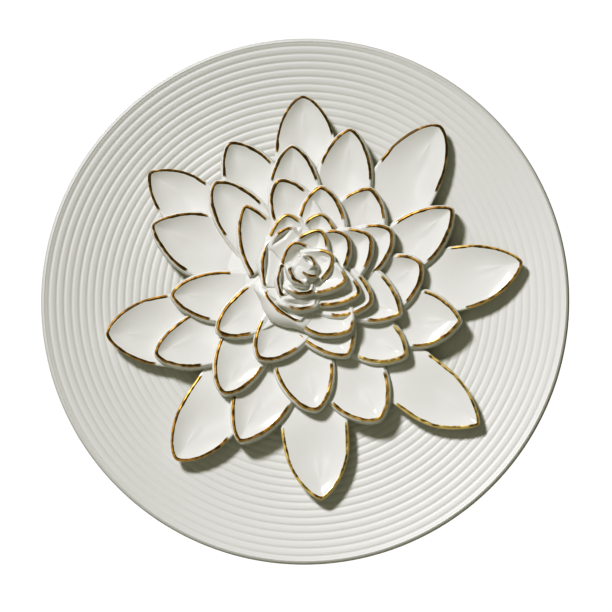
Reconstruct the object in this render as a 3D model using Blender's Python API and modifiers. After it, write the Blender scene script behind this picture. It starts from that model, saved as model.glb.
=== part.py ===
"""Wall sculpture: a shallow ring-grooved plate that hangs on a wall, with a many-petalled flower on its front.

Metres, +Z up. The wall is the plane y = 0, the plate hangs in front of it towards -Y, and the origin is the
middle of the flat foot on the plate's back. The petal schedule is in millimetres on the plate's face.
"""
import math

import bmesh
import bpy
from mathutils import Vector

MM = 0.001
SLIVER = 0.000001

# Plate
PLATE_RADIUS = 0.200
FOOT_RADIUS = 0.098
FOOT_HEIGHT = 0.004
PLATE_THICKNESS = 0.008
LAND_RADIUS = 0.070
DISH_RISE = 0.012
RIM_ROUND = 0.0035
PLATE_STEPS = 48
GROOVE_COUNT = 16
GROOVE_OUTERMOST = 0.1939
GROOVE_PITCH = 0.00575
GROOVE_DEPTH = 0.0009
LAND_FRONT = FOOT_HEIGHT + PLATE_THICKNESS

# Keyhole hanging slot in the foot
KEYHOLE_Z = 0.058
KEYHOLE_RISE = 0.014
KEYHOLE_HEAD = 0.012
KEYHOLE_NECK = 0.0055
KEYHOLE_LIP = 0.003
KEYHOLE_DEPTH = 0.0075
KEYHOLE_STEPS = 16

# Flower
SEAT_GAP = 0.0003
PETAL_THICKNESS = 0.003
PETAL_POWER = 0.62
DISH_POWER = 2.6
LIP_START = 0.55
LIP_FADE = 0.7
EDGE_WIDTH = 0.0015
EDGE_DROP = 0.001
CORE_RADIUS = 0.092
CORE_HEIGHT = 0.025
CORE_EDGE = 0.004
CORE_UNDERCUT = 0.0022
SEAT_RADIUS = 0.054
CORE_POWER = 1.1
CORE_PLACE = (0.002, 0.014)
CORE_STEPS = 28
BUD_PLACE = (0.001, 0.019)
BUD_RADIUS = 0.013
BUD_TOP = 0.0565
BUD_FOOT = 0.038
BUD_STEPS = 16
SIDE_COLUMNS = {"outer": 6, "second": 6, "third": 5, "fourth": 5, "fifth": 4, "inner": 4, "heart": 4, "bud": 3}
DISH_ROWS = (0.0, 0.6, 1.0)

# Whorls from the plate inwards: tip height off the wall, root height, lip height, how far the roots stop short of
# the middle, and the height where the upright outer walls end, or 0 for open leaves, in millimetres
WHORLS = {
    "outer": (30, 25, 4, 60, 0),
    "second": (33, 28, 4, 45, 21),
    "third": (36, 31, 4, 32, 26),
    "fourth": (40, 35, 4, 22, 31),
    "fifth": (45, 40, 5, 12, 34),
    "inner": (50, 45, 6, 8, 35),
    "heart": (55, 50, 4, 4, 38),
    "bud": (59, 55, 4, 2, 42),
}

# Petals: tip across, tip up, bearing of the petal in degrees, width to its left, width to its right, the length of
# the shoulder where it reaches that width, and the spread of its outer wall towards its foot, in millimetres
PETALS = {
    "outer": (
        (-1, 154, 91, 22, 25, 50, 2),
        (103, 131, 59, 27, 25, 62, 2),
        (164, 27, 9, 21, 29, 62, 2),
        (131, -95, 322, 20, 27, 62, 2),
        (13, -151, 276, 26, 25, 58, 2),
        (-96, -121, 236, 26, 22, 54, 2),
        (-149, -26, 180, 26, 31, 62, 2),
        (-117, 96, 145, 23, 19, 48, 2),
    ),
    "second": (
        (-56, 118, 117, 19, 23, 46, 2),
        (35, 128, 83, 21, 21, 50, 2),
        (111, 67, 38, 19, 21, 53, 2),
        (117, -17, 0, 24, 20, 44, 2),
        (56, -91, 300, 24, 27, 44, 2),
        (-48, -107, 247, 25, 20, 55, 2),
        (-111, -42, 207, 27, 16, 51, 2),
        (-114, 56, 158, 24, 24, 56, 2),
    ),
    "third": (
        (-9, 115, 94, 20, 19, 47, 2),
        (50, 82, 70, 23, 22, 40, 2),
        (87, 26, 34, 22, 21, 39, 2),
        (76, -43, 333, 20, 18, 39, 2),
        (9, -84, 281, 20, 25, 45, 2),
        (-60, -71, 243, 18, 21, 41, 2),
        (-99, 3, 178, 20, 19, 48, 2),
        (-67, 87, 128, 19, 19, 44, 2),
    ),
    "fourth": (
        (-19, 88, 117, 18, 19, 39, 2),
        (13, 83, 88, 17, 20, 39, 2),
        (65, 50, 36, 19, 19, 36, 2),
        (72, -12, 340, 26, 16, 46, 2),
        (33, -43, 308, 26, 21, 51, 2),
        (-33, -45, 233, 21, 18, 41, 2),
        (-64, -25, 216, 21, 15, 45, 2),
        (-44, 69, 115, 18, 15, 50, 2),
    ),
    "fifth": (
        (14, 61, 70, 16, 23, 38, 2),
        (49, 45, 35, 22, 22, 39, 2),
        (50, -3, 346, 23, 19, 39, 2),
        (34, -25, 306, 14, 27, 30, 2),
        (-17, -9, 230, 18, 18, 3, 11),
        (-29, 26, 176, 19, 18, 3, 6),
        (-12, 61, 86, 15, 27, 40, 2),
    ),
    "inner": (
        (32, 44, 38, 22, 22, 40, 2),
        (41, 3, 353, 21, 13, 41, 2),
        (-4, -8, 265, 13, 13, 5, 5),
        (13, 48, 63, 18, 16, 39, 2),
        (-17, 12, 180, 12, 12, 3, 5),
        (-8, 38, 130, 20, 9, 18, 2),
    ),
    "heart": (
        (21, 29, 22, 13, 16, 30, 2),
        (31, 12, 349, 17, 16, 40, 2),
        (-3, 3, 260, 10, 10, 4, 4),
    ),
    "bud": (
        (5, 27, 50, 6, 6, 3, 2),
        (5, 16, 252, 5, 6, 2, 3),
        (-5, 13, 225, 8, 9, 4, 5),
    ),
}


def clear():
    """Empties the file that the script starts from."""
    for thing in list(bpy.data.objects):
        bpy.data.objects.remove(thing)
    for group in list(bpy.data.collections):
        bpy.data.collections.remove(group)


def collection(name, hidden=False):
    group = bpy.data.collections.new(name)
    bpy.context.scene.collection.children.link(group)
    group.hide_render = hidden
    return group


def material(name, colour, roughness):
    finish = bpy.data.materials.new(name)
    finish.use_nodes = True
    shader = finish.node_tree.nodes["Principled BSDF"]
    shader.inputs["Base Color"].default_value = (*colour, 1.0)
    shader.inputs["Roughness"].default_value = roughness
    return finish


def mesh_object(name, points, edges, faces, group):
    mesh = bpy.data.meshes.new(name)
    mesh.from_pydata(points, edges, faces)
    thing = bpy.data.objects.new(name, mesh)
    group.objects.link(thing)
    return thing


def settle(thing):
    """Replaces an object's mesh by its result with every modifier on."""
    bpy.context.view_layer.update()
    graph = bpy.context.evaluated_depsgraph_get()
    result = bpy.data.meshes.new_from_object(thing.evaluated_get(graph))
    thing.modifiers.clear()
    thing.data = result
    result.name = thing.name


def finish_mesh(thing, finish, angle):
    """Keeps the outer skin only, and sets the shading."""
    shape = bmesh.new()
    shape.from_mesh(thing.data)
    bmesh.ops.triangulate(shape, faces=shape.faces)
    bmesh.ops.remove_doubles(shape, verts=shape.verts, dist=SLIVER)
    bmesh.ops.dissolve_degenerate(shape, dist=SLIVER, edges=shape.edges)
    keep = largest_skin(shape)
    bmesh.ops.delete(shape, geom=[f for f in shape.faces if f not in keep], context="FACES")
    bmesh.ops.recalc_face_normals(shape, faces=shape.faces)
    shape.to_mesh(thing.data)
    shape.free()
    thing.data.materials.clear()
    thing.data.materials.append(finish)
    thing.data.shade_smooth()
    thing.data.set_sharp_from_angle(angle=math.radians(angle))


def largest_skin(shape):
    """The faces of the connected skin that is widest across."""
    unseen = set(shape.faces)
    best = set()
    best_size = -1.0
    while unseen:
        start = unseen.pop()
        skin = {start}
        stack = [start]
        while stack:
            for edge in stack.pop().edges:
                if len(edge.link_faces) != 2:
                    continue
                for face in edge.link_faces:
                    if face in unseen:
                        unseen.discard(face)
                        skin.add(face)
                        stack.append(face)
        across = [v.co.x for face in skin for v in face.verts]
        if max(across) - min(across) > best_size:
            best = skin
            best_size = max(across) - min(across)
    return best


def turned(name, profile, steps, group):
    """A body turned about the Y axis from (radius, y) points, which run from the front middle to the back one."""
    points = [(radius, y, 0.0) for radius, y in profile]
    edges = [(i, i + 1) for i in range(len(points) - 1)]
    thing = mesh_object(name, points, edges, [], group)
    screw = thing.modifiers.new("Turn", "SCREW")
    screw.axis = "Y"
    screw.angle = math.tau
    screw.steps = steps
    screw.render_steps = steps
    screw.use_merge_vertices = True
    screw.merge_threshold = 0.00001
    screw.use_normal_calculate = True
    return thing


def boolean(thing, operation, target):
    cut = thing.modifiers.new(operation.title(), "BOOLEAN")
    cut.operation = operation
    cut.solver = "EXACT"
    if isinstance(target, bpy.types.Collection):
        cut.operand_type = "COLLECTION"
        cut.collection = target
    else:
        cut.object = target


def dish(radius):
    """How far the plate's front stands forward of its flat middle."""
    outside = max(0.0, radius - LAND_RADIUS) / (PLATE_RADIUS - LAND_RADIUS)
    return DISH_RISE * outside ** 2


def plate_profile():
    """Front of the plate with its ring grooves, round the rim and down the back to the foot."""
    front = [(0.0, -LAND_FRONT), (LAND_RADIUS * 0.8, -LAND_FRONT)]
    for number in reversed(range(GROOVE_COUNT)):
        valley = GROOVE_OUTERMOST - number * GROOVE_PITCH
        crest = valley - GROOVE_PITCH / 2
        front.append((crest, -LAND_FRONT - dish(crest)))
        front.append((valley, -LAND_FRONT - dish(valley) + GROOVE_DEPTH))
    last = PLATE_RADIUS - RIM_ROUND
    front.append((last, -LAND_FRONT - dish(last)))
    rim_front = -LAND_FRONT - dish(PLATE_RADIUS)
    rim = [
        (PLATE_RADIUS - RIM_ROUND * 0.3, rim_front + RIM_ROUND * 0.3),
        (PLATE_RADIUS, rim_front + RIM_ROUND),
        (PLATE_RADIUS, rim_front + PLATE_THICKNESS - RIM_ROUND * 0.6),
        (PLATE_RADIUS - RIM_ROUND * 0.6, rim_front + PLATE_THICKNESS),
    ]
    back = []
    for radius in (PLATE_RADIUS * 0.9, PLATE_RADIUS * 0.775, PLATE_RADIUS * 0.65, FOOT_RADIUS + 0.003):
        back.append((radius, -FOOT_HEIGHT - dish(radius)))
    foot = [(FOOT_RADIUS, -0.001), (FOOT_RADIUS - 0.001, 0.0), (0.0, 0.0)]
    return front + rim + back + foot


def keyhole_cutter(group):
    """The hanging slot: a round entry with a narrow neck above it, wider behind the lip."""
    parts = collection("keyhole_parts", hidden=True)
    entry = slot_shape("keyhole_entry", KEYHOLE_HEAD / 2, 0.0, -0.001, KEYHOLE_DEPTH, parts)
    slot_shape("keyhole_neck", KEYHOLE_NECK / 2, KEYHOLE_RISE, -0.001, KEYHOLE_DEPTH - 0.001, parts)
    slot_shape("keyhole_channel", KEYHOLE_HEAD / 2, KEYHOLE_RISE, KEYHOLE_LIP, KEYHOLE_DEPTH, parts)
    parts.objects.unlink(entry)
    group.objects.link(entry)
    boolean(entry, "UNION", parts)
    settle(entry)
    entry.name = "keyhole_cutter"
    return entry


def slot_shape(name, radius, rise, near, far, group):
    """An upright slot with round ends, cut into the foot from depth near to depth far."""
    outline = []
    half = KEYHOLE_STEPS // 2
    for step in range(half + 1):
        angle = math.pi * step / half
        outline.append((radius * math.cos(angle), KEYHOLE_Z + rise + radius * math.sin(angle)))
    for step in range(half + 1):
        angle = math.pi + math.pi * step / half
        outline.append((radius * math.cos(angle), KEYHOLE_Z + radius * math.sin(angle)))
    count = len(outline)
    points = [(x, -near, z) for x, z in outline] + [(x, -far, z) for x, z in outline]
    faces = [tuple(range(count)), tuple(reversed(range(count, 2 * count)))]
    for i in range(count):
        j = (i + 1) % count
        faces.append((i, j, count + j, count + i))
    thing = mesh_object(name, points, [], faces, group)
    shape = bmesh.new()
    shape.from_mesh(thing.data)
    bmesh.ops.remove_doubles(shape, verts=shape.verts, dist=0.00001)
    bmesh.ops.recalc_face_normals(shape, faces=shape.faces)
    shape.to_mesh(thing.data)
    shape.free()
    thing.hide_render = True
    thing.display_type = "WIRE"
    return thing


class Petal:
    """One petal of the schedule: a dish mapped from its rim line to its middle line, as a leaf or with walls."""

    def __init__(self, row, name):
        self.side_columns = SIDE_COLUMNS[name]
        tip_x, tip_z, bearing, left, right, shoulder, spread = row
        tip_height, root_height, lip, inset, base = WHORLS[name]
        angle = math.radians(bearing)
        self.tip = Vector((tip_x, tip_z)) * MM
        self.along = Vector((math.cos(angle), math.sin(angle)))
        self.across = Vector((-self.along.y, self.along.x))
        self.widths = (right * MM, left * MM)
        self.shoulder = shoulder * MM
        self.spread = spread * MM
        self.tip_height = tip_height * MM
        self.root_height = root_height * MM
        self.lip = lip * MM
        self.base = base * MM
        reach = (self.tip - Vector(CORE_PLACE)).length
        self.length = max(reach - inset * MM, 0.4 * reach)
        self.start = min(0.3 * self.shoulder, 0.35 * self.length)

    def half_width(self, back, side):
        """Half the petal's width at a distance back from its tip."""
        share = min(1.0, back / self.shoulder)
        return self.widths[side] * math.sin(math.pi / 2 * share ** PETAL_POWER)

    def rim_height(self, back):
        return self.root_height + (self.tip_height - self.root_height) * (1 - back / self.length)

    def floor_height(self, back):
        """Height of the middle line: a lip below the rim at the tip, level with it where the petals merge."""
        fade = min(1.0, max(0.0, back / self.shoulder - LIP_START) / LIP_FADE)
        return self.rim_height(back) - self.lip * (1 - fade * fade * (3 - 2 * fade))

    def column(self, turn):
        """Points across the petal at one turn round its rim, from -1 to 1: middle line, dish, rim and wall."""
        step = abs(turn) ** 1.8
        side = 1 if turn > 0 else 0
        rim_back = self.length * step
        mid_back = self.start + (self.length - self.start) * step
        rim = self.tip - self.along * rim_back
        rim += self.across * (self.half_width(rim_back, side) * (1 if turn > 0 else -1))
        middle = self.tip - self.along * mid_back
        low = self.floor_height(mid_back)
        top = self.rim_height(rim_back)
        points = []
        for out in DISH_ROWS:
            flat = middle.lerp(rim, out)
            points.append((flat.x, -low - (top - low) * out ** DISH_POWER, flat.y))
        if self.base:
            away = (rim - middle).normalized()
            edge = rim + away * EDGE_WIDTH
            drop = top - EDGE_DROP - self.base
            for angle in (0.0, math.pi / 4, math.pi / 2):
                flat = edge + away * self.spread * math.sin(angle)
                height = top - EDGE_DROP - drop * (1 - math.cos(angle))
                points.append((flat.x, -height, flat.y))
        return points

    def body(self, name, group):
        columns = 2 * self.side_columns + 1
        rows = [self.column(column / self.side_columns - 1) for column in range(columns)]
        width = len(rows[0])
        points = [point for row in rows for point in row]
        faces = []
        for column in range(columns - 1):
            for row in range(width - 1):
                corner = column * width + row
                faces.append((corner, corner + 1, corner + width + 1, corner + width))
        if self.base:
            last = (columns - 1) * width
            faces.append(tuple(column * width + width - 1 for column in range(columns)))
            faces.append(tuple(range(width)) + tuple(reversed(range(last + 1, last + width))))
        thing = mesh_object(name, points, [], faces, group)
        shape = bmesh.new()
        shape.from_mesh(thing.data)
        bmesh.ops.remove_doubles(shape, verts=shape.verts, dist=0.00001)
        bmesh.ops.recalc_face_normals(shape, faces=shape.faces)
        if not self.base and sum(f.normal.y * f.calc_area() for f in shape.faces) > 0:
            bmesh.ops.reverse_faces(shape, faces=shape.faces)
        shape.to_mesh(thing.data)
        shape.free()
        if not self.base:
            shell = thing.modifiers.new("Thickness", "SOLIDIFY")
            shell.thickness = PETAL_THICKNESS
            shell.offset = -1.0
            shell.use_even_offset = True
            shell.use_rim = True
        thing.hide_render = True
        thing.display_type = "WIRE"
        return thing


def core_profile():
    """The hidden dome in the middle of the flower, which the petals grow from."""
    seat = -LAND_FRONT - SEAT_GAP
    profile = []
    for share in (0.0, 0.25, 0.5, 0.75, 1.0):
        rise = CORE_EDGE + CORE_HEIGHT * (1 - share ** CORE_POWER)
        profile.append((CORE_RADIUS * share, seat - rise))
    profile.append((CORE_RADIUS, seat - CORE_UNDERCUT))
    profile.append((SEAT_RADIUS, seat))
    profile.append((0.0, seat))
    return profile


def bud_profile():
    """The closed bud in the middle, above the core."""
    profile = []
    for step in range(5):
        angle = math.pi / 2 * step / 4
        rise = (BUD_TOP - BUD_FOOT) * math.cos(angle) ** 0.8
        profile.append((BUD_RADIUS * math.sin(angle) ** 0.8, -BUD_FOOT - rise))
    profile.append((0.0, -BUD_FOOT))
    return profile


def build():
    clear()
    parts = collection("lotus_wall_sculpture")
    cutters = collection("cutters", hidden=True)
    petals = collection("petals", hidden=True)
    bisque = material("plate_satin", (0.72, 0.72, 0.68), 0.55)
    glaze = material("flower_glaze", (0.80, 0.80, 0.77), 0.12)

    plate = turned("ringed_plate", plate_profile(), PLATE_STEPS, parts)
    settle(plate)
    boolean(plate, "DIFFERENCE", keyhole_cutter(cutters))
    settle(plate)
    finish_mesh(plate, bisque, 35)

    flower = turned("lotus_flower", core_profile(), CORE_STEPS, parts)
    bud = turned("bud", bud_profile(), BUD_STEPS, petals)
    for body, place in ((flower, CORE_PLACE), (bud, BUD_PLACE)):
        settle(body)
        for vert in body.data.vertices:
            vert.co.x += place[0]
            vert.co.z += place[1]
    bud.hide_render = True
    bud.display_type = "WIRE"
    for whorl, rows in PETALS.items():
        for number, row in enumerate(rows):
            Petal(row, whorl).body(f"petal_{whorl}_{number}", petals)
    boolean(flower, "UNION", petals)
    settle(flower)
    finish_mesh(flower, glaze, 40)


build()
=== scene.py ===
"""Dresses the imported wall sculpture: a fine ringed plate, glazed petals, light and camera.

Metres, +Z up, the wall is the plane y = 0 and the room is towards -Y. The petal schedule is in
millimetres across and up from the plate's middle.
"""
import math

import bmesh
import bpy
import numpy as np
from mathutils import Matrix, Vector


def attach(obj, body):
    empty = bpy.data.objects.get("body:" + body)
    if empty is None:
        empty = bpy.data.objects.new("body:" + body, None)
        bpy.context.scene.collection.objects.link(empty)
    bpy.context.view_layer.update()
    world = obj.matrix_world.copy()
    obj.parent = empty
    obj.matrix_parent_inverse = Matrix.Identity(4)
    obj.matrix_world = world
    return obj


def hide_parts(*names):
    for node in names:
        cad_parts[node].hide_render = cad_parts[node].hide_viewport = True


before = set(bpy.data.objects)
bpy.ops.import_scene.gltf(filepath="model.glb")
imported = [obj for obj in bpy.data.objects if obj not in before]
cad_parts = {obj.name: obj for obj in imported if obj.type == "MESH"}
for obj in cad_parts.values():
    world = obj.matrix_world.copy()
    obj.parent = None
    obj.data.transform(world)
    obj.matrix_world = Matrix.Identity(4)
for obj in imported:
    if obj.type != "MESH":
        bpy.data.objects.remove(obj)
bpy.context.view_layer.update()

MM = 0.001

# Plate
PLATE_RADIUS = 0.200
FOOT_RADIUS = 0.098
FOOT_HEIGHT = 0.004
PLATE_THICKNESS = 0.008
LAND_FRONT = FOOT_HEIGHT + PLATE_THICKNESS
LAND_RADIUS = 0.070
DISH_RISE = 0.012
RIM_ROUND = 0.0035
BACK_ROUND = 0.8 * RIM_ROUND
RIM_CURVE_STEPS = 6
BACK_MARGIN = 0.002
FOOT_MARGIN = 0.003
FOOT_EDGE = 0.0012
FOOT_TURN_IN = 0.8
PLATE_STEPS = 240
GROOVE_COUNT = 22
GROOVE_OUTERMOST = 0.1939
GROOVE_PITCH = 0.00575
GROOVE_DEPTH = 0.00033
GROOVE_HALF_WIDTH = 0.0016
GROOVE_UNEVEN = 0.15
SLOW_WAVE = 0.06
QUICK_WAVE = 0.04
BAND_CROWN = 0.00012
SHALLOW_BEARING = math.radians(10)
SHALLOW_SHARE = 0.5
BACK_STEPS = 24
GROOVE_POINTS = 10
PLATE_SHARP = math.radians(40)

# Keyhole hanging slot in the foot
KEYHOLE_Z = 0.058
KEYHOLE_RISE = 0.014
KEYHOLE_HEAD = 0.012
KEYHOLE_NECK = 0.0055
KEYHOLE_LIP = 0.003
KEYHOLE_DEPTH = 0.0075
NECK_SHALLOWER = 0.001
CUT_BEYOND = 0.001

# Flower
SEAT_GAP = 0.0003
PETAL_THICKNESS = 0.003
PETAL_POWER = 0.62
CORNER_SHARE = 0.7
DISH_POWER = 2.2
LIP_START = 0.55
LIP_FADE = 0.7
WALL_STEPS = 8
SHORTEST_LENGTH = 0.4
MIDDLE_START = 0.3
LATEST_START = 0.35
TIP_GATHERS = 1.8
RIM_GATHERS = 1.35
WALLED_RIM_TURN = 0.6
CORE_RADIUS = 0.092
CORE_HEIGHT = 0.025
CORE_EDGE = 0.004
CORE_UNDERCUT = 0.0022
CORE_POWER = 1.1
CORE_PLACE = (0.002, 0.014)
CORE_STEPS = 96
CORE_CURVE_STEPS = 12
CORE_SHARP = math.radians(50)
OFF_THE_LINE = 50.0
SEAT_RADIUS = 0.054
BUD_PLACE = (0.001, 0.019)
BUD_RADIUS = 0.013
BUD_TOP = 0.0565
BUD_FOOT = 0.038
BUD_POWER = 0.8
BUD_CURVE_STEPS = 16
SIDE_COLUMNS = 22
DISH_ROWS = 10
RIM_STEPS = 6

# Whorls from the plate inwards: tip height off the wall, root height, lip height, how far the
# roots stop short of the middle, and the height where the upright outer walls end, or 0 for open
# leaves, in millimetres
WHORLS = {
    "outer": (30, 21, 3, 60, 0),
    "second": (33, 24, 3, 45, 21),
    "third": (36, 28, 3, 32, 26),
    "fourth": (40, 34, 3, 22, 31),
    "fifth": (45, 40, 5, 12, 34),
    "curl": (47, 40, 4, 14, 35),
    "inner": (50, 45, 6, 8, 35),
    "heart": (55, 50, 4, 4, 38),
    "bud": (59, 55, 4, 2, 42),
}

# Petals: tip across, tip up, bearing of the petal in degrees, width to its left, width to its
# right, the length of the shoulder where it reaches that width, and the spread of its outer wall
# towards its foot, in millimetres
PETALS = {
    "outer": (
        (-1, 154, 91, 22, 25, 50, 2),
        (103, 131, 59, 27, 25, 62, 2),
        (164, 27, 9, 21, 29, 62, 2),
        (131, -95, 322, 20, 27, 62, 2),
        (13, -151, 276, 26, 25, 58, 2),
        (-96, -121, 236, 26, 22, 54, 2),
        (-149, -26, 180, 26, 31, 62, 2),
        (-117, 96, 145, 23, 19, 48, 2),
    ),
    "second": (
        (-56, 118, 117, 19, 23, 46, 2),
        (35, 128, 83, 21, 21, 50, 2),
        (111, 67, 38, 19, 21, 53, 2),
        (117, -17, 0, 24, 20, 44, 2),
        (56, -91, 300, 24, 27, 44, 2),
        (-48, -107, 247, 25, 20, 55, 2),
        (-111, -42, 207, 27, 16, 51, 2),
        (-114, 56, 158, 24, 24, 56, 2),
    ),
    "third": (
        (-9, 115, 94, 20, 19, 47, 2),
        (50, 82, 70, 23, 22, 40, 2),
        (87, 26, 34, 22, 21, 39, 2),
        (76, -43, 333, 20, 18, 39, 2),
        (9, -84, 281, 20, 25, 45, 2),
        (-60, -71, 243, 18, 21, 41, 2),
        (-99, 3, 178, 20, 19, 48, 2),
        (-67, 87, 128, 19, 19, 44, 2),
    ),
    "fourth": (
        (-19, 88, 117, 18, 19, 39, 2),
        (13, 83, 88, 17, 20, 39, 2),
        (65, 50, 36, 19, 19, 36, 2),
        (72, -12, 340, 26, 16, 46, 2),
        (33, -43, 308, 26, 21, 51, 2),
        (-33, -45, 233, 21, 18, 41, 2),
        (-64, -25, 216, 21, 15, 45, 2),
        (-44, 69, 115, 18, 15, 50, 2),
    ),
    "fifth": (
        (14, 61, 70, 16, 23, 38, 2),
        (49, 45, 35, 22, 22, 39, 2),
        (50, -3, 346, 23, 19, 39, 2),
        (34, -25, 306, 14, 27, 30, 2),
        (-17, -9, 230, 18, 18, 3, 11),
        (-29, 26, 176, 19, 18, 3, 6),
        (-12, 61, 86, 15, 27, 40, 2),
    ),
    "curl": (
        (-17, 47, 130, 13, 10, 4, 3),
    ),
    "inner": (
        (32, 44, 38, 22, 22, 40, 2),
        (41, 3, 353, 21, 13, 41, 2),
        (-4, -8, 265, 13, 13, 5, 5),
        (13, 48, 63, 18, 16, 39, 2),
        (-17, 12, 180, 12, 12, 3, 5),
        (-8, 38, 130, 20, 9, 18, 2),
    ),
    "heart": (
        (21, 29, 22, 13, 16, 30, 2),
        (31, 12, 349, 17, 16, 40, 2),
        (-3, 3, 260, 10, 10, 4, 4),
    ),
    "bud": (
        (5, 27, 50, 6, 6, 3, 2),
        (5, 16, 252, 5, 6, 2, 3),
        (-5, 13, 225, 8, 9, 4, 5),
    ),
}

# Painted line on each petal: how far it runs back from the tip on the left and on the right, in
# hundredths of the shoulder's length, and how dark the gold is, from 0 to 9. The darkness is partly the
# gold's tint and partly painted shade and reflection: darkest on the petals at the top and upper left,
# lightest on the lower right
GOLD = {
    "outer": (
        (82, 57, 9), (72, 70, 8), (80, 74, 3), (98, 93, 1),
        (95, 95, 2), (63, 115, 4), (58, 72, 6), (45, 80, 8),
    ),
    "second": (
        (42, 58, 9), (55, 70, 8), (70, 70, 5), (58, 78, 3),
        (62, 62, 3), (70, 52, 4), (50, 72, 6), (63, 62, 8),
    ),
    "third": (
        (50, 55, 8), (30, 42, 5), (28, 60, 4), (43, 77, 2),
        (70, 80, 3), (72, 85, 4), (58, 88, 5), (80, 73, 7),
    ),
    "fourth": (
        (63, 38, 6), (55, 58, 4), (32, 77, 4), (47, 43, 3),
        (16, 65, 3), (53, 55, 4), (40, 82, 4), (98, 30, 4),
    ),
    "fifth": (
        (22, 20, 3), (22, 40, 4), (30, 65, 3), (14, 78, 3),
        (65, 120, 5), (65, 40, 5), (42, 9, 3),
    ),
    "curl": (
        (0, 60, 6),
    ),
    "inner": (
        (20, 36, 4), (10, 65, 3), (45, 12, 4), (28, 20, 3), (90, 80, 8), (48, 38, 4),
    ),
    "heart": (
        (25, 42, 3), (8, 47, 3), (75, 25, 4),
    ),
    "bud": (
        (12, 80, 5), (90, 40, 5), (40, 60, 8),
    ),
}

# How pointed each petal's tip is, from 0, rounded, to 10, a corner between straight sides
POINTED = {
    "outer": (0, 0, 3, 6, 3, 1, 1, 4),
    "second": (3, 3, 4, 6, 0, 3, 0, 5),
    "third": (3, 3, 0, 4, 0, 0, 2, 1),
    "fourth": (0, 2, 0, 5, 3, 0, 0, 6),
    "fifth": (0, 0, 1, 3, 0, 0, 0),
    "curl": (0,),
    "inner": (0, 2, 0, 0, 0, 0),
    "heart": (0, 2, 0),
    "bud": (0, 0, 0),
}

# Satin ceramic: two tones of its clouding, and its roughness from the one to the other
SATIN_COLOURS = ((0.61, 0.607, 0.592), (0.635, 0.632, 0.617))
SATIN_ROUGHNESS = (0.42, 0.55)

# Gloss glaze, and the gold from its light yellow to its darkest brown; the brown is painted shade and
# reflection mixed with random patches
GLAZE_COLOURS = ((0.665, 0.66, 0.64), (0.695, 0.69, 0.67))
GLAZE_ROUGHNESS = 0.13
GOLD_YELLOW = (0.86, 0.65, 0.27)
GOLD_WARM = (0.68, 0.35, 0.085)
GOLD_SHADED_BROWN = (0.06, 0.027, 0.009)
GOLD_METALLIC = 0.5
GOLD_ROUGHNESS = 0.36

# Painted line in millimetres: half its width before the unevenness widens it, how much narrower it
# is where the gold is darkest, how uneven and how soft its sides are, and the same for its ends
LINE_HALF_WIDTH = 0.33
LINE_NARROWS = 0.4
LINE_PATCHY = 1.4
LINE_SOFT = 0.15
END_PATCHY = 3.0
END_SOFT = 1.2

# Camera and frame, from the photograph: the plate's radius in the picture, and where its middle lies
PICTURE = 612
PLATE_IN_PICTURE = 264.0
MIDDLE_IN_PICTURE = (304.6, 300.0)
CAMERA_DISTANCE = 2.5
CAMERA_RIGHT = math.radians(2.0)
CAMERA_BELOW = math.radians(5.5)
SENSOR_WIDTH = 36.0
RIM_PLANE = 0.018

# Key light: from the upper left, its beam centred on a spot beyond the plate's lower right
KEY_BEARING = math.radians(128)
KEY_HEIGHT = math.radians(48)
KEY_DISTANCE = 6.0
KEY_HALF_CONE = math.radians(11)
KEY_HALF_SIZE = math.radians(5.2)
KEY_TARGET = (0.19, 0.0, -0.16)
KEY_POWER = 1860.0
KEY_COLOUR = (1.0, 0.995, 0.975)

# Soft lights: place, width and height, power, colour, and whether it lights surfaces and whether
# it shows in the glaze
WHITE = (1, 1, 1)
SOFT_LIGHTS = {
    "fill": ((-0.34, -2.1, 0.34), (0.34, 0.34), 1.5, WHITE, True, False),
    "bounce": ((0.0, -1.15, -0.95), (1.6, 1.6), 4.4, WHITE, True, False),
    "window": ((-0.34, -2.1, 0.34), (0.34, 0.22), 1.9, (0.88, 0.94, 1.0), False, True),
    "lamp_left": ((-0.56, -2.05, 0.30), (0.05, 0.05), 0.15, WHITE, False, True),
    "lamp_right": ((-0.22, -2.1, 0.46), (0.05, 0.05), 0.15, WHITE, False, True),
    "behind": ((-0.9, 2.2, 1.3), (1.2, 1.2), 24.0, WHITE, True, True),
}

# Room: the middle of what is lit, the floor below it, and how bright floor and surround look
LIT_MIDDLE = Vector((0.0, -0.03, 0.0))
FLOOR_Z = -1.2
FLOOR_HALF = 4.0
FLOOR_COLOUR = (0.82, 0.82, 0.81, 1)
FLOOR_GLOW = 0.62
SURROUND_GLOW = 1.05
SURROUND_LIGHT = 0.04

# Tone curve of the picture: level in the scene, level shown in red and green, level shown in blue
TONES = (
    (0.0, 0.0, 0.0),
    (0.16, 0.118, 0.083),
    (0.45, 0.405, 0.375),
    (0.72, 0.715, 0.708),
    (1.0, 1.0, 1.0),
)


def dish(radius):
    """How far the plate's front stands forward of its flat middle."""
    outside = max(0.0, radius - LAND_RADIUS) / (PLATE_RADIUS - LAND_RADIUS)
    return DISH_RISE * outside ** 2


def linked(name, mesh):
    thing = bpy.data.objects.new(name, mesh)
    bpy.context.scene.collection.objects.link(thing)
    return thing


def settle(thing):
    """Replaces an object's mesh by its result with every modifier on."""
    bpy.context.view_layer.update()
    graph = bpy.context.evaluated_depsgraph_get()
    result = bpy.data.meshes.new_from_object(thing.evaluated_get(graph))
    thing.modifiers.clear()
    thing.data = result


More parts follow.
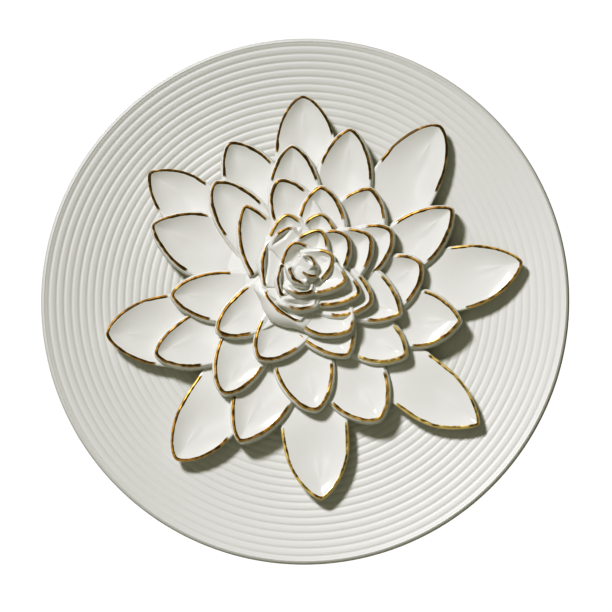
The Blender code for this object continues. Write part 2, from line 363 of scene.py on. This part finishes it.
def lathe_mesh(name, profile, steps, place=(0.0, 0.0)):
    """A closed body turned about the Y axis from (radius, y, cut) points, from axis to axis.

    The cut is how deep a groove is there, and is worked less deep on the right of the plate.
    """
    ring = []
    for i in range(steps):
        angle = math.tau * i / steps
        ring.append((math.cos(angle), math.sin(angle), groove_strength(angle)))
    points = [(place[0], profile[0][1], place[1])]
    for radius, y, cut in profile[1:-1]:
        for c, s, strength in ring:
            points.append((place[0] + radius * c, y + cut * strength, place[1] + radius * s))
    points.append((place[0], profile[-1][1], place[1]))
    last = len(points) - 1
    faces = []
    for i in range(steps):
        j = (i + 1) % steps
        faces.append((0, 1 + j, 1 + i))
        for row in range(len(profile) - 3):
            low = 1 + row * steps
            high = low + steps
            faces.append((low + i, low + j, high + j, high + i))
        low = 1 + (len(profile) - 3) * steps
        faces.append((low + i, low + j, last))
    mesh = bpy.data.meshes.new(name)
    mesh.from_pydata(points, [], faces)
    shape = bmesh.new()
    shape.from_mesh(mesh)
    bmesh.ops.recalc_face_normals(shape, faces=shape.faces)
    shape.to_mesh(mesh)
    shape.free()
    return mesh


def ripple(number, salt):
    """A fixed small unevenness between -1 and 1."""
    return math.sin(number * 12.9898 + salt * 78.233) * math.cos(number * 3.7 + salt)


def groove_strength(angle):
    """Share of the full groove depth round the plate, from the hand that turned it."""
    shallow = max(0.0, math.cos(angle - SHALLOW_BEARING)) ** 2
    waves = 1 + SLOW_WAVE * math.sin(3 * angle + 1) + QUICK_WAVE * math.sin(7 * angle)
    return (1 - SHALLOW_SHARE * shallow) * waves


def plate_profile():
    """Front of the plate with its thrown grooves, round the rim and down the back to the foot."""
    front = [(0.0, -LAND_FRONT, 0.0), (LAND_RADIUS * 0.5, -LAND_FRONT, 0.0)]
    edge = GROOVE_OUTERMOST - (GROOVE_COUNT - 0.5) * GROOVE_PITCH
    for number in reversed(range(GROOVE_COUNT)):
        valley = GROOVE_OUTERMOST - number * GROOVE_PITCH
        depth = GROOVE_DEPTH * (1 + GROOVE_UNEVEN * ripple(number, 1))
        for point in range(GROOVE_POINTS):
            radius = edge + GROOVE_PITCH * point / GROOVE_POINTS
            away = min(1.0, abs(radius - valley) / GROOVE_HALF_WIDTH)
            cut = depth * 0.5 * (1 + math.cos(math.pi * away))
            crown = BAND_CROWN * math.cos(math.pi * (radius - valley) / GROOVE_PITCH) ** 2
            front.append((radius, -LAND_FRONT - dish(radius), cut + crown))
        edge += GROOVE_PITCH
    last = PLATE_RADIUS - RIM_ROUND
    front.append((last, -LAND_FRONT - dish(last), 0.0))
    rim = []
    front_y = -LAND_FRONT - dish(PLATE_RADIUS)
    for step in range(1, RIM_CURVE_STEPS + 1):
        angle = math.pi / 2 * step / RIM_CURVE_STEPS
        rim.append((last + RIM_ROUND * math.sin(angle), front_y + RIM_ROUND * (1 - math.cos(angle)), 0.0))
    for step in range(RIM_CURVE_STEPS + 1):
        angle = math.pi / 2 * step / RIM_CURVE_STEPS
        radius = PLATE_RADIUS - BACK_ROUND * (1 - math.cos(angle))
        rim.append((radius, front_y + PLATE_THICKNESS - BACK_ROUND * (1 - math.sin(angle)), 0.0))
    back = []
    outer = PLATE_RADIUS - BACK_ROUND - BACK_MARGIN
    inner = FOOT_RADIUS + FOOT_MARGIN
    for step in range(BACK_STEPS + 1):
        radius = outer + (inner - outer) * step / BACK_STEPS
        back.append((radius, -FOOT_HEIGHT - dish(radius), 0.0))
    foot = [
        (FOOT_RADIUS + FOOT_EDGE, -FOOT_HEIGHT - dish(FOOT_RADIUS) + FOOT_EDGE / 4, 0.0),
        (FOOT_RADIUS + FOOT_EDGE / 4, -FOOT_HEIGHT * FOOT_TURN_IN, 0.0),
        (FOOT_RADIUS, -FOOT_EDGE, 0.0),
        (FOOT_RADIUS - FOOT_EDGE / 3, -FOOT_EDGE / 4, 0.0),
        (FOOT_RADIUS - FOOT_EDGE, 0.0, 0.0),
        (0.0, 0.0, 0.0),
    ]
    return front + rim + back + foot


def slot_mesh(name, radius, rise, near, far, steps=24):
    """An upright slot with round ends, from depth near to depth far in the foot."""
    outline = []
    half = steps // 2
    for step in range(half + 1):
        angle = math.pi * step / half
        outline.append((radius * math.cos(angle), KEYHOLE_Z + rise + radius * math.sin(angle)))
    for step in range(half + 1):
        angle = math.pi + math.pi * step / half
        outline.append((radius * math.cos(angle), KEYHOLE_Z + radius * math.sin(angle)))
    count = len(outline)
    points = [(x, -near, z) for x, z in outline] + [(x, -far, z) for x, z in outline]
    faces = [tuple(range(count)), tuple(reversed(range(count, 2 * count)))]
    for i in range(count):
        j = (i + 1) % count
        faces.append((i, j, count + j, count + i))
    mesh = bpy.data.meshes.new(name)
    mesh.from_pydata(points, [], faces)
    shape = bmesh.new()
    shape.from_mesh(mesh)
    bmesh.ops.remove_doubles(shape, verts=shape.verts, dist=0.00001)
    bmesh.ops.recalc_face_normals(shape, faces=shape.faces)
    shape.to_mesh(mesh)
    shape.free()
    return mesh


def cut_keyhole(plate):
    shapes = (
        slot_mesh("entry", KEYHOLE_HEAD / 2, 0.0, -CUT_BEYOND, KEYHOLE_DEPTH),
        slot_mesh("neck", KEYHOLE_NECK / 2, KEYHOLE_RISE, -CUT_BEYOND, KEYHOLE_DEPTH - NECK_SHALLOWER),
        slot_mesh("channel", KEYHOLE_HEAD / 2, KEYHOLE_RISE, KEYHOLE_LIP, KEYHOLE_DEPTH),
    )
    for mesh in shapes:
        cutter = linked(mesh.name, mesh)
        cut = plate.modifiers.new("Cut", "BOOLEAN")
        cut.operation = "DIFFERENCE"
        cut.solver = "EXACT"
        cut.object = cutter
        settle(plate)
        bpy.data.objects.remove(cutter)


class Petal:
    """One petal of the schedule: a dish mapped from its rim line to its middle line, with a rounded rim."""

    def __init__(self, row, gold, pointed, whorl):
        tip_x, tip_z, bearing, left, right, shoulder, spread = row
        gold_left, gold_right, tint_and_shade = gold
        self.gold_ends = (gold_right / 100, gold_left / 100)
        # Darkness of the gold: partly its tint and partly painted shade and reflection
        self.tint_and_shade = tint_and_shade / 9
        self.pointed = pointed / 10
        tip_height, root_height, depth, inset, base = WHORLS[whorl]
        self.base = base * MM
        self.spread = spread * MM
        angle = math.radians(bearing)
        self.tip = np.array([tip_x, tip_z]) * MM
        self.along = np.array([math.cos(angle), math.sin(angle)])
        self.across = np.array([-self.along[1], self.along[0]])
        self.widths = (right * MM, left * MM)
        self.shoulder = shoulder * MM
        self.tip_height = tip_height * MM
        self.root_height = root_height * MM
        self.depth = depth * MM
        reach = float(np.linalg.norm(self.tip - np.array(CORE_PLACE)))
        self.length = max(reach - inset * MM, SHORTEST_LENGTH * reach)
        self.start = min(MIDDLE_START * self.shoulder, LATEST_START * self.length)

    def half_width(self, back, side):
        share = min(1.0, back / self.shoulder)
        rounded = math.sin(math.pi / 2 * share ** PETAL_POWER)
        cornered = min(1.0, share / CORNER_SHARE)
        cornered *= 2 - cornered
        return self.widths[side] * (rounded + (cornered - rounded) * self.pointed)

    def rim_height(self, back):
        return self.root_height + (self.tip_height - self.root_height) * (1 - back / self.length)

    def floor_height(self, back):
        fade = min(1.0, max(0.0, back / self.shoulder - LIP_START) / LIP_FADE)
        return self.rim_height(back) - self.depth * (1 - fade * fade * (3 - 2 * fade))

    def point(self, turn, out):
        """Point of the inner face, for a turn from -1 to 1 round the rim and an out from 0 to 1."""
        step = abs(turn) ** TIP_GATHERS
        side = 1 if turn > 0 else 0
        rim_back = self.length * step
        mid_back = self.start + (self.length - self.start) * step
        rim = self.tip - self.along * rim_back
        rim = rim + self.across * (self.half_width(rim_back, side) * (1 if turn > 0 else -1))
        middle = self.tip - self.along * mid_back
        low = self.floor_height(mid_back)
        rise = self.rim_height(rim_back) - low
        slant = math.hypot(float(np.linalg.norm(rim - middle)), DISH_POWER * rise)
        out = out * (1 - 0.5 * PETAL_THICKNESS / max(slant, PETAL_THICKNESS))
        flat = middle + (rim - middle) * out
        height = low + rise * out ** DISH_POWER
        return (flat[0], -height, flat[1])

    def wall(self, edge, middle):
        """Rows of the rounded outer wall from the rim to a level foot, then in to the middle line."""
        away = edge - middle
        away[:, 1] = 0
        away /= np.maximum(np.linalg.norm(away, axis=1, keepdims=True), 1e-9)
        rows = []
        for step in range(1, WALL_STEPS + 1):
            angle = math.pi / 2 * step / WALL_STEPS
            row = edge + away * self.spread * math.sin(angle)
            row[:, 1] = edge[:, 1] + (-self.base - edge[:, 1]) * (1 - math.cos(angle))
            rows.append(row)
        foot = middle.copy()
        foot[:, 1] = -self.base
        return rows + [foot]

    def mesh_data(self):
        """Points, faces, distance from the rim's crest and how much of the line is still to run."""
        columns = 2 * SIDE_COLUMNS + 1
        rows = DISH_ROWS
        turns = [column / SIDE_COLUMNS - 1 for column in range(columns)]
        outs = [1 - (1 - row / rows) ** RIM_GATHERS for row in range(rows + 1)]
        inner = np.array([[self.point(turn, out) for out in outs] for turn in turns])
        for column in range(columns):
            inner[column, 0] = inner[min(column, columns - 1 - column), 0]
        du = np.gradient(inner, axis=0)
        dv = np.gradient(inner, axis=1)
        normal = np.cross(du, dv)
        for column in range(columns):
            normal[column, 0] = normal[column, 1] + normal[columns - 1 - column, 1]
        normal[:, 0] += 1e-12
        normal /= np.linalg.norm(normal, axis=2, keepdims=True)
        if normal[..., 1].mean() < 0:
            normal = -normal
        outward = inner[:, -1] - inner[:, -2]
        outward /= np.linalg.norm(outward, axis=1, keepdims=True)
        half = PETAL_THICKNESS / 2
        centre = inner[:, -1] + normal[:, -1] * half
        rims = []
        turned = WALLED_RIM_TURN if self.base else 1.0
        for step in range(1, RIM_STEPS):
            angle = math.pi * turned * step / RIM_STEPS
            away = outward * half * math.sin(angle)
            rims.append(centre - normal[:, -1] * half * math.cos(angle) + away)
        profile = [inner[:, row] for row in range(rows + 1)] + rims
        if self.base:
            profile += self.wall(rims[-1], inner[:, 0])
        else:
            outer = inner + normal * PETAL_THICKNESS
            profile += [outer[:, row] for row in reversed(range(rows + 1))]
        profile = np.array(profile).transpose(1, 0, 2)
        steps = np.linalg.norm(np.diff(profile, axis=1), axis=2)
        along = np.concatenate([np.zeros((columns, 1)), np.cumsum(steps, axis=1)], axis=1)
        top = np.argmin(profile[:, rows - 1:rows + RIM_STEPS, 1], axis=1) + rows - 1
        crest = along[np.arange(columns), top]
        rim_distance = along - crest[:, None]
        share = np.abs(np.array(turns)) ** TIP_GATHERS * self.length / self.shoulder
        ends = np.array([self.gold_ends[1 if turn > 0 else 0] for turn in turns])
        left_to_run = (ends - share) * self.shoulder
        width = profile.shape[1]
        index = np.arange(columns * width).reshape(columns, width)
        for column in range(SIDE_COLUMNS + 1, columns):
            index[column, 0] = index[columns - 1 - column, 0]
            index[column, -1] = index[columns - 1 - column, -1]
        faces = []
        for column in range(columns - 1):
            for k in range(width - 1):
                near = (index[column, k], index[column, k + 1])
                far = (index[column + 1, k + 1], index[column + 1, k])
                unique = tuple(dict.fromkeys(int(q) for q in near + far))
                if len(unique) > 2:
                    faces.append(unique)
        root = [int(i) for i in index[0]] + [int(i) for i in reversed(index[-1][1:-1])]
        faces.append(tuple(root))
        runs = np.repeat(left_to_run[:, None], width, axis=1)
        return profile.reshape(-1, 3), faces, rim_distance.reshape(-1), runs.reshape(-1)


def paint(mesh, rims, runs, tints_and_shades):
    """Stores on a mesh what the gold line is painted from, including its tint and painted shade."""
    for label, values in (("rim_mm", rims), ("line_mm", runs), ("gold_tint_and_painted_shade", tints_and_shades)):
        layer = mesh.attributes.new(label, "FLOAT", "POINT")
        layer.data.foreach_set("value", values.astype(np.float32))


def flower_piece(name, rows):
    """One shown piece made of several petals."""
    points = []
    faces = []
    rims = []
    runs = []
    tints_and_shades = []
    for whorl, row, gold, pointed in rows:
        petal = Petal(row, gold, pointed, whorl)
        petal_points, petal_faces, rim, run = petal.mesh_data()
        offset = sum(len(p) for p in points)
        points.append(petal_points)
        faces.extend(tuple(i + offset for i in face) for face in petal_faces)
        rims.append(rim)
        runs.append(run)
        tints_and_shades.append(np.full(len(rim), petal.tint_and_shade))
    mesh = bpy.data.meshes.new(name)
    mesh.from_pydata(np.concatenate(points).tolist(), [], faces)
    paint(mesh, np.concatenate(rims) / MM, np.concatenate(runs) / MM, np.concatenate(tints_and_shades))
    shape = bmesh.new()
    shape.from_mesh(mesh)
    loose = [v for v in shape.verts if not v.link_faces]
    bmesh.ops.delete(shape, geom=loose, context="VERTS")
    bmesh.ops.recalc_face_normals(shape, faces=shape.faces)
    shape.to_mesh(mesh)
    shape.free()
    mesh.shade_smooth()
    return linked(name, mesh)


def node(tree, kind, **values):
    made = tree.nodes.new(kind)
    for key, value in values.items():
        setattr(made, key, value)
    return made


def new_material(name):
    material = bpy.data.materials.new(name)
    material.use_nodes = True
    return material, material.node_tree, material.node_tree.nodes["Principled BSDF"]


def noise(tree, coords, scale, detail):
    made = node(tree, "ShaderNodeTexNoise")
    made.inputs["Scale"].default_value = scale
    made.inputs["Detail"].default_value = detail
    tree.links.new(coords, made.inputs["Vector"])
    return made.outputs["Fac"]


def ramp(tree, value, start, end, low=0.0, high=1.0):
    """Smooth step of a value from low at the start to high at the end."""
    made = node(tree, "ShaderNodeMapRange", interpolation_type="SMOOTHSTEP")
    made.inputs["From Min"].default_value = start
    made.inputs["From Max"].default_value = end
    made.inputs["To Min"].default_value = low
    made.inputs["To Max"].default_value = high
    tree.links.new(value, made.inputs["Value"])
    return made.outputs["Result"]


def sum_of(tree, first, factor, second):
    """first times factor plus second, where second is a socket or a number."""
    made = node(tree, "ShaderNodeMath", operation="MULTIPLY_ADD")
    tree.links.new(first, made.inputs[0])
    made.inputs[1].default_value = factor
    if isinstance(second, (int, float)):
        made.inputs[2].default_value = second
    else:
        tree.links.new(second, made.inputs[2])
    return made.outputs["Value"]


def mixed(tree, share, first, second):
    """Colour between two, where each is a socket or a fixed colour."""
    made = node(tree, "ShaderNodeMix", data_type="RGBA")
    tree.links.new(share, made.inputs["Factor"])
    for label, colour in (("A", first), ("B", second)):
        if isinstance(colour, tuple):
            made.inputs[label].default_value = (*colour, 1)
        else:
            tree.links.new(colour, made.inputs[label])
    return made.outputs["Result"]


def bumped(tree, height, strength, distance, shader):
    """Gives a shader a bump from a height."""
    bump = node(tree, "ShaderNodeBump")
    bump.inputs["Strength"].default_value = strength
    bump.inputs["Distance"].default_value = distance
    tree.links.new(height, bump.inputs["Height"])
    tree.links.new(bump.outputs["Normal"], shader.inputs["Normal"])


def satin_ceramic():
    """Matt off-white of the plate, with faint clouding and fine grain."""
    material, tree, shader = new_material("satin_ceramic")
    link = tree.links.new
    coords = node(tree, "ShaderNodeTexCoord").outputs["Object"]
    cloud = noise(tree, coords, 9.0, 4.0)
    link(mixed(tree, cloud, *SATIN_COLOURS), shader.inputs["Base Color"])
    rough = node(tree, "ShaderNodeMapRange")
    rough.inputs["To Min"].default_value = SATIN_ROUGHNESS[0]
    rough.inputs["To Max"].default_value = SATIN_ROUGHNESS[1]
    link(cloud, rough.inputs["Value"])
    link(rough.outputs["Result"], shader.inputs["Roughness"])
    bumped(tree, noise(tree, coords, 420.0, 3.0), 0.08, 0.0003, shader)
    return material


def gold_glaze():
    """Glossy white glaze with a brushed gold line along each rim, with painted shade and reflection: darker
    on its inner side and on petals given a dark gold.
    """
    material, tree, shader = new_material("gloss_glaze")
    link = tree.links.new
    rim = node(tree, "ShaderNodeAttribute", attribute_name="rim_mm").outputs["Fac"]
    run = node(tree, "ShaderNodeAttribute", attribute_name="line_mm").outputs["Fac"]
    tint_and_shade = node(tree, "ShaderNodeAttribute", attribute_name="gold_tint_and_painted_shade").outputs["Fac"]
    coords = node(tree, "ShaderNodeTexCoord").outputs["Object"]
    wobble = noise(tree, coords, 70.0, 2.0)
    patch = noise(tree, coords, 190.0, 3.0)
    away = node(tree, "ShaderNodeMath", operation="ABSOLUTE")
    link(sum_of(tree, patch, -0.6, rim), away.inputs[0])
    half = sum_of(tree, tint_and_shade, -LINE_NARROWS, LINE_HALF_WIDTH)
    edge = sum_of(tree, away.outputs["Value"], -1.0, half)
    edge = sum_of(tree, wobble, 1.0, edge)
    edge = sum_of(tree, patch, LINE_PATCHY, edge)
    line = ramp(tree, edge, -LINE_SOFT, LINE_SOFT)
    left = sum_of(tree, patch, END_PATCHY, sum_of(tree, run, 1.0, -END_PATCHY / 2))
    fade = ramp(tree, left, -END_SOFT, END_SOFT)
    both = node(tree, "ShaderNodeMath", operation="MULTIPLY")
    link(line, both.inputs[0])
    link(fade, both.inputs[1])
    mask = both.outputs["Value"]
    body = mixed(tree, wobble, *GLAZE_COLOURS)
    # Painted shade and reflection: the gold darker on the inner side of the line
    inner = ramp(tree, sum_of(tree, patch, 1.4, sum_of(tree, rim, -1.0, -0.4)), -0.5, 0.6)
    # How far the gold is painted towards brown: painted shade from the petal's darkness and the inner side,
    # plus random patches
    shade = sum_of(tree, tint_and_shade, 0.75, sum_of(tree, inner, 0.65, sum_of(tree, patch, 1.6, -0.88)))
    # Light yellow to warm orange by the petal's darkness, partly tint and partly painted light
    warm = mixed(tree, ramp(tree, tint_and_shade, 0.15, 0.5), GOLD_YELLOW, GOLD_WARM)
    gold = mixed(tree, ramp(tree, shade, 0.0, 1.0), warm, GOLD_SHADED_BROWN)
    link(mixed(tree, mask, body, gold), shader.inputs["Base Color"])
    link(sum_of(tree, mask, GOLD_METALLIC, 0.0), shader.inputs["Metallic"])
    link(ramp(tree, mask, 0.0, 1.0, GLAZE_ROUGHNESS, GOLD_ROUGHNESS), shader.inputs["Roughness"])
    shader.inputs["Specular IOR Level"].default_value = 0.25
    bumped(tree, noise(tree, coords, 60.0, 2.0), 0.10, 0.0006, shader)
    return material


def build_plate(material):
    plate = linked("ringed_plate_fine", lathe_mesh("ringed_plate_fine", plate_profile(), PLATE_STEPS))
    cut_keyhole(plate)
    plate.data.shade_smooth()
    plate.data.set_sharp_from_angle(angle=PLATE_SHARP)
    plate.data.materials.append(material)
    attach(plate, "root")
    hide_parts("ringed_plate")


def core_profile():
    seat = -LAND_FRONT - SEAT_GAP
    profile = []
    for step in range(CORE_CURVE_STEPS + 1):
        share = step / CORE_CURVE_STEPS
        rise = CORE_EDGE + CORE_HEIGHT * (1 - share ** CORE_POWER)
        profile.append((CORE_RADIUS * share, seat - rise, 0.0))
    profile.append((CORE_RADIUS, seat - CORE_UNDERCUT, 0.0))
    profile.append((SEAT_RADIUS, seat, 0.0))
    profile.append((0.0, seat, 0.0))
    return profile


def bud_profile():
    profile = []
    for step in range(BUD_CURVE_STEPS + 1):
        angle = math.pi / 2 * step / BUD_CURVE_STEPS
        radius = BUD_RADIUS * math.sin(angle) ** BUD_POWER
        profile.append((radius, -BUD_FOOT - (BUD_TOP - BUD_FOOT) * math.cos(angle) ** BUD_POWER, 0.0))
    profile.append((0.0, -BUD_FOOT, 0.0))
    return profile


def build_flower(material):
    pieces = []
    turned = (
        ("flower_core", core_profile(), CORE_PLACE),
        ("flower_bud", bud_profile(), BUD_PLACE),
    )
    for name, profile, place in turned:
        body = linked(name, lathe_mesh(name, profile, CORE_STEPS, place))
        far = np.full(len(body.data.vertices), OFF_THE_LINE)
        paint(body.data, far, -far, 0 * far)
        body.data.shade_smooth()
        body.data.set_sharp_from_angle(angle=CORE_SHARP)
        pieces.append(body)
    groups = (
        ("petals_outer", ("outer",)),
        ("petals_second", ("second",)),
        ("petals_third", ("third",)),
        ("petals_fourth", ("fourth",)),
        ("petals_heart", ("fifth", "curl", "inner", "heart", "bud")),
    )
    for name, whorls in groups:
        rows = []
        for whorl in whorls:
            rows.extend((whorl, *parts) for parts in zip(PETALS[whorl], GOLD[whorl], POINTED[whorl]))
        pieces.append(flower_piece(name, rows))
    for piece in pieces:
        piece.data.materials.append(material)
        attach(piece, "root")
        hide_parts("lotus_flower")


def soft_light(name, place, size, power, colour, lights, shines):
    """Rectangular light aimed at the middle, which may light surfaces, show in the glaze or both."""
    data = bpy.data.lights.new(name, "AREA")
    data.shape = "RECTANGLE"
    data.size, data.size_y = size
    data.energy = power
    data.color = colour
    light = linked(name, data)
    light.location = place
    light.rotation_euler = (LIT_MIDDLE - Vector(place)).to_track_quat("-Z", "Y").to_euler()
    light.visible_diffuse = lights
    light.visible_glossy = shines


def key_light():
    """Spot from the upper left whose edge falls off over the plate."""
    data = bpy.data.lights.new("key", "SPOT")
    data.energy = KEY_POWER
    data.color = KEY_COLOUR
    data.spot_size = 2 * KEY_HALF_CONE
    data.spot_blend = 1.0
    data.shadow_soft_size = KEY_DISTANCE * math.tan(KEY_HALF_SIZE)
    key = linked("key", data)
    way = Vector((
        math.cos(KEY_BEARING) * math.cos(KEY_HEIGHT),
        -math.sin(KEY_HEIGHT),
        math.sin(KEY_BEARING) * math.cos(KEY_HEIGHT),
    ))
    key.location = LIT_MIDDLE + way * KEY_DISTANCE
    key.rotation_euler = (Vector(KEY_TARGET) - key.location).to_track_quat("-Z", "Y").to_euler()


def seen_only(tree, lighting, seen, socket):
    """Gives a socket one level where it is seen directly and another where it lights other things."""
    path = node(tree, "ShaderNodeLightPath")
    level = node(tree, "ShaderNodeMapRange")
    level.inputs["To Min"].default_value = lighting
    level.inputs["To Max"].default_value = seen
    tree.links.new(path.outputs["Is Camera Ray"], level.inputs["Value"])
    tree.links.new(level.outputs["Result"], socket)


def build_floor():
    mesh = bpy.data.meshes.new("floor")
    corners = [(x * FLOOR_HALF, y * FLOOR_HALF, FLOOR_Z) for x, y in ((-1, -1), (1, -1), (1, 1), (-1, 1))]
    mesh.from_pydata(corners, [], [(0, 1, 2, 3)])
    floor = linked("floor", mesh)
    material, tree, shader = new_material("pale_floor")
    shader.inputs["Base Color"].default_value = FLOOR_COLOUR
    shader.inputs["Roughness"].default_value = 0.8
    shader.inputs["Emission Color"].default_value = (1, 1, 0.99, 1)
    seen_only(tree, 0.0, FLOOR_GLOW, shader.inputs["Emission Strength"])
    mesh.materials.append(material)


def build_surround():
    world = bpy.data.worlds.new("studio")
    world.use_nodes = True
    bpy.context.scene.world = world
    shade = world.node_tree.nodes["Background"]
    seen_only(world.node_tree, SURROUND_LIGHT, SURROUND_GLOW, shade.inputs["Strength"])
    shade.inputs["Color"].default_value = (1, 1, 1, 1)


def set_tones():
    """Standard view with deeper, warmer shadows."""
    view = bpy.context.scene.view_settings
    view.view_transform = "Standard"
    view.use_curve_mapping = True
    mapping = view.curve_mapping
    for channel in range(3):
        curve = mapping.curves[channel]
        for tone in TONES[1:-1]:
            curve.points.new(tone[0], tone[2] if channel == 2 else tone[1])
    mapping.update()


def build_camera():
    scale = PLATE_RADIUS / PLATE_IN_PICTURE
    out = Vector((
        math.sin(CAMERA_RIGHT) * math.cos(CAMERA_BELOW),
        -math.cos(CAMERA_RIGHT) * math.cos(CAMERA_BELOW),
        -math.sin(CAMERA_BELOW),
    ))
    right = (-out).cross(Vector((0, 0, 1))).normalized()
    up = right.cross(-out)
    aim = Vector((0.0, -RIM_PLANE, 0.0))
    aim += right * (PICTURE / 2 - MIDDLE_IN_PICTURE[0]) * scale
    aim -= up * (PICTURE / 2 - MIDDLE_IN_PICTURE[1]) * scale
    data = bpy.data.cameras.new("camera")
    data.sensor_width = SENSOR_WIDTH
    data.lens = SENSOR_WIDTH / 2 * CAMERA_DISTANCE / (PICTURE / 2 * scale)
    data.clip_start = 0.05
    camera = linked("camera", data)
    camera.matrix_world = Matrix.Translation(aim + out * CAMERA_DISTANCE) @ Matrix((
        (right.x, up.x, out.x, 0), (right.y, up.y, out.y, 0), (right.z, up.z, out.z, 0), (0, 0, 0, 1)))
    bpy.context.scene.camera = camera


build_plate(satin_ceramic())
build_flower(gold_glaze())
build_floor()
build_surround()
key_light()
for label, values in SOFT_LIGHTS.items():
    soft_light(label, *values)
build_camera()
set_tones()
bpy.context.view_layer.update()
